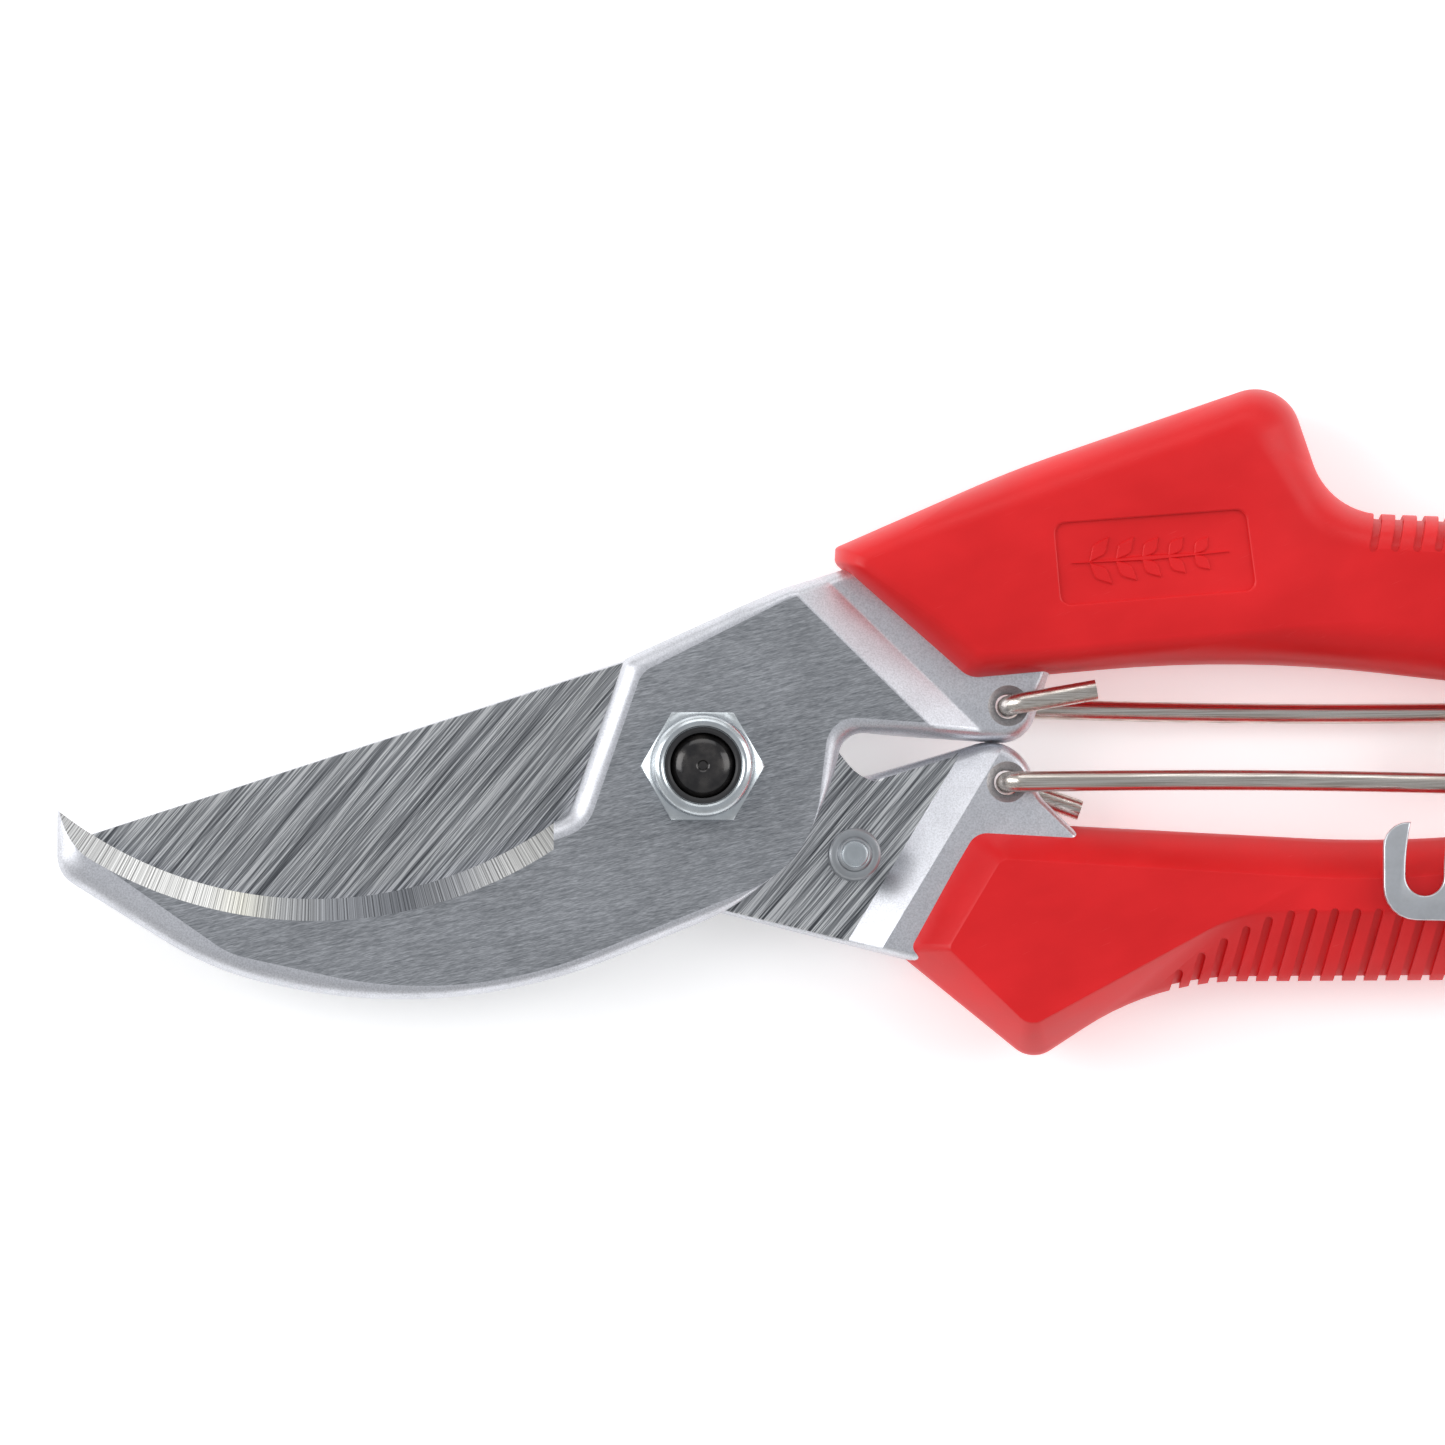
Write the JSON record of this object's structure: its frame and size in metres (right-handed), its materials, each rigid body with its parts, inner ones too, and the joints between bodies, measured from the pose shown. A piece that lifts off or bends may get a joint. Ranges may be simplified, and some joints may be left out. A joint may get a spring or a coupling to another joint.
{
  "type": "pruning shears",
  "caption": "Bypass pruning shears: forged cutting blade and hook on a pivot bolt, moulded grips, wire return spring and a catch plate at the handle ends.",
  "frame": {"origin": "on the pivot's axis, at the back of the bolt head, on the surface that the closed shears lie on", "axes": "+X to the ends of the handles, -X to the tip, +Y to the handle of the hook forging, +Z out of the face with the nut"},
  "size_m": [0.205, 0.081, 0.0197],
  "materials": {
    "forged_steel": "ground faces, sandblasted tangs",
    "blade_steel": "cross ground",
    "grip_red": "soft moulded vinyl, satin",
    "zinc_steel": "zinc plated",
    "black_oxide": "black oxide, oiled",
    "black_nylon": "moulded nylon",
    "bronze": "satin",
    "spring_wire": "drawn, nickel plated"
  },
  "bodies": {
    "hook_half": {"hook_blade": "forged_steel", "upper_grip": "grip_red", "pivot_bolt": "black_oxide", "pivot_nut": "zinc_steel", "nut_insert": "black_nylon", "thrust_washer": "bronze", "keeper_stud": "zinc_steel", "keeper_washer": "zinc_steel"},
    "blade_half": {"cutting_blade": "blade_steel", "lower_grip": "grip_red", "stop_bush": "zinc_steel", "stop_rivet": "zinc_steel", "catch_rivet": "zinc_steel", "catch_spacer": "bronze", "catch_back_washer": "zinc_steel"},
    "catch": {"catch_plate": "zinc_steel"},
    "spring_upper": {"spring_upper_arm": "spring_wire"},
    "spring_lower": {"spring_lower_arm": "spring_wire"}
  },
  "joints": [
    {"name": "blade_pivot", "type": "hinge", "parent": "hook_half", "child": "blade_half", "pos_m": [0, 0, 0], "axis": [0, 0, -1], "range_deg": [0, 51]},
    {"name": "catch_pivot", "type": "hinge", "parent": "blade_half", "child": "catch", "pos_m": [0.117, -0.0133, 0], "axis": [0, 0, -1], "range_deg": [0, 90]},
    {"name": "spring_upper_hook", "type": "hinge", "parent": "hook_half", "child": "spring_upper", "pos_m": [0.03735, 0.00764, 0], "axis": [0, 0, -1], "range_deg": [0, 37.5]},
    {"name": "spring_lower_hook", "type": "hinge", "parent": "blade_half", "child": "spring_lower", "pos_m": [0.0372, -0.00164, 0], "axis": [0, 0, 1], "range_deg": [0, 45.5]}
  ],
  "couplings": [
    {"joint": "spring_upper_hook", "follows": "blade_pivot", "ratio": 0.72298},
    {"joint": "spring_lower_hook", "follows": "blade_pivot", "ratio": 0.87846}
  ]
}
